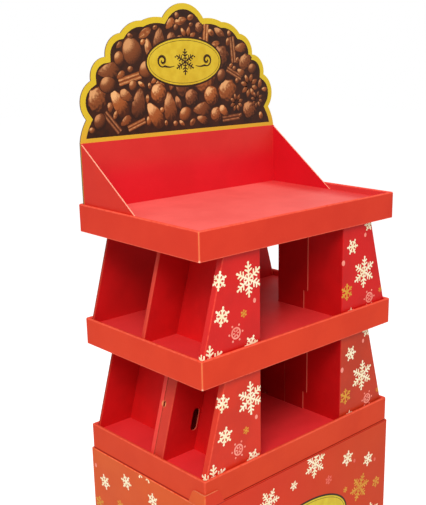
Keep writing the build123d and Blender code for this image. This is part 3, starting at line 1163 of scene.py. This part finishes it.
def covering(kind, u, v, size, angle):
    """Circles that cover a motif, for keeping motifs apart."""
    width = size * slim.get(kind, 1.0)
    steps = max(1, round(size / width * 1.4))
    reach = size - width
    if steps == 1 or reach <= 0:
        return [(u, v, size)]
    shares = [-1 + 2 * n / steps for n in range(steps + 1)]
    return [(u + cos(angle) * reach * t, v + sin(angle) * reach * t, width) for t in shares]


# Rounds of motifs: the kinds to choose from, their size and the number of tries
behind_rounds = [
    (("walnut", "nut", "round", "anise", "almond"), 33, 1200),
    (("walnut", "nut", "round", "stick", "anise"), 28, 1800),
    (("walnut", "nut", "round", "leaf"), 21, 2500),
]
front_rounds = [
    (("walnut", "nut", "round", "anise", "stick", "almond"), 24, 2500),
    (("walnut", "nut", "almond", "leaf"), 17, 3000),
    (("nut", "almond", "bean", "leaf"), 12, 3000),
    (("bean", "nut"), 8, 3000),
]


def meets(circles, others, gap, cover):
    """Whether any two circles are nearer than the gap, less a share of the smaller radius."""
    return any(
        hypot(x - p, y - q) < r + w + gap - cover * min(r, w)
        for x, y, r in circles
        for p, q, w in others
    )


quarter_turns = (0, 1.57, 3.14, 4.71)
plaque_hides = (3, plaque_z, 100, 46)    # centre and half sizes of what the plaque hides


def scatter(chance, rounds, behind):
    """Fill the field with motifs of falling size; they may partly cover those behind them."""
    middle_u, middle_v, half_u, half_v = plaque_hides
    placed = []
    made = []
    for choices, size, tries in rounds:
        for _ in range(tries):
            u = chance.uniform(-header_half, header_half)
            v = chance.uniform(border_z, border_z + header_h)
            angle = chance.uniform(0, tau)
            kind = chance.choice(choices)
            tone = chance.choice((0.0, 0.2, 0.4, 0.6, 0.9))
            scale = size * chance.uniform(0.88, 1.1)
            if ((u - middle_u) / half_u) ** 2 + ((v - middle_v) / half_v) ** 2 < 1:
                continue
            circles = covering(kind, u, v, scale, angle)
            rims = [(x + r * cos(a), y + r * sin(a)) for x, y, r in circles for a in quarter_turns]
            if not all(is_inside(room, x, y) for x, y in rims):
                continue
            if meets(circles, placed, 0.4, 0.0) or meets(circles, behind, 0.0, 0.7):
                continue
            placed += circles
            made.append((kind, u, v, scale, angle, tone))
    return made, placed


room = inset_outline(dome(field_foot), border_w + 1.0)
chance = Random(11)
behind = []
for label, rounds, layer in (("behind", behind_rounds, 1), ("front", front_rounds, 2)):
    motifs, behind = scatter(chance, rounds, behind)
    sheet = Print()
    for motif in motifs:
        draw(sheet, *motif)
    sheet.join()
    sheet.lay(f"header_motifs_{label}", on_header, motif_ink, layer)


# Floor, light and camera

def floor(half_size, glow_strength):
    """Pale paper with a glow that only the camera sees, so that the paper shows as white."""
    bm = bmesh.new()
    bmesh.ops.create_grid(bm, x_segments=8, y_segments=8, size=half_size)
    mesh = bpy.data.meshes.new("floor")
    bm.to_mesh(mesh)
    bm.free()
    plane = added("floor", mesh)
    s = Surface("floor_paper", 0.9, 0.0)
    s.finish(s.mix(s.noise(400.0), rgb(232, 232, 232), rgb(229, 229, 229)))
    rays = s.tree.nodes.new("ShaderNodeLightPath")
    glow = s.tree.nodes.new("ShaderNodeEmission")
    glow.inputs["Strength"].default_value = glow_strength
    both = s.tree.nodes.new("ShaderNodeAddShader")
    choose = s.tree.nodes.new("ShaderNodeMixShader")
    output = s.tree.nodes["Material Output"]
    s.link(s.shader.outputs[0], both.inputs[0])
    s.link(glow.outputs[0], both.inputs[1])
    s.link(rays.outputs["Is Camera Ray"], choose.inputs[0])
    s.link(s.shader.outputs[0], choose.inputs[1])
    s.link(both.outputs[0], choose.inputs[2])
    s.link(choose.outputs[0], output.inputs[0])
    mesh.materials.append(s.material)


def world(strength):
    """Even grey light that the camera and mirrors see as white."""
    made = bpy.data.worlds.new("studio")
    bpy.context.scene.world = made
    made.use_nodes = True
    tree = made.node_tree
    light_node = tree.nodes["Background"]
    light_node.inputs["Color"].default_value = (1, 1, 1, 1)
    light_node.inputs["Strength"].default_value = strength
    white = tree.nodes.new("ShaderNodeBackground")
    white.inputs["Color"].default_value = (1, 1, 1, 1)
    rays = tree.nodes.new("ShaderNodeLightPath")
    kinds_seen = ("Is Camera Ray", "Is Glossy Ray", "Is Transmission Ray")
    camera_ray, glossy_ray, through_ray = (Field(tree, rays.outputs[kind]) for kind in kinds_seen)
    seen = camera_ray | glossy_ray | through_ray
    choose = tree.nodes.new("ShaderNodeMixShader")
    link = tree.links.new
    link(seen.socket, choose.inputs[0])
    link(light_node.outputs[0], choose.inputs[1])
    link(white.outputs[0], choose.inputs[2])
    link(choose.outputs[0], tree.nodes["World Output"].inputs[0])


def lamp(name, place, target, size, power):
    """Square soft box at a place, turned to a target, both in metres."""
    data = bpy.data.lights.new(name, "AREA")
    data.shape = "SQUARE"
    data.size = size
    data.energy = power
    obj = added(name, data)
    obj.location = place
    obj.rotation_euler = (Vector(target) - Vector(place)).to_track_quat("-Z", "Y").to_euler()


def camera():
    """Camera fitted to the photograph, which is 426 by 505 pixels."""
    frame_w, frame_h = 426, 505
    focal_px = 853.36
    centre_px = (275.5, 275.8)
    azimuth, elevation = radians(-45.68), radians(15.47)
    back = Vector((sin(azimuth) * cos(elevation), -cos(azimuth) * cos(elevation), sin(elevation)))
    data = bpy.data.cameras.new("camera")
    data.sensor_width = 36.0
    data.lens = data.sensor_width * focal_px / frame_h
    data.shift_x = (frame_w / 2 - centre_px[0]) / frame_h
    data.shift_y = (centre_px[1] - frame_h / 2) / frame_h
    obj = added("camera", data)
    obj.location = Vector((-1291.9, -1365.8, 1270.9)) * MM
    obj.rotation_euler = back.to_track_quat("Z", "Y").to_euler()
    bpy.context.scene.camera = obj


floor(12.0, 0.57)
world(0.54)
lamp("key", (-2.1, -1.9, 3.3), (0, 0, 0.7), 1.8, 105)
lamp("top", (0.0, -0.3, 3.8), (0, 0, 0.8), 1.6, 26)
camera()
bpy.context.scene.view_settings.view_transform = "Standard"

bpy.context.view_layer.update()
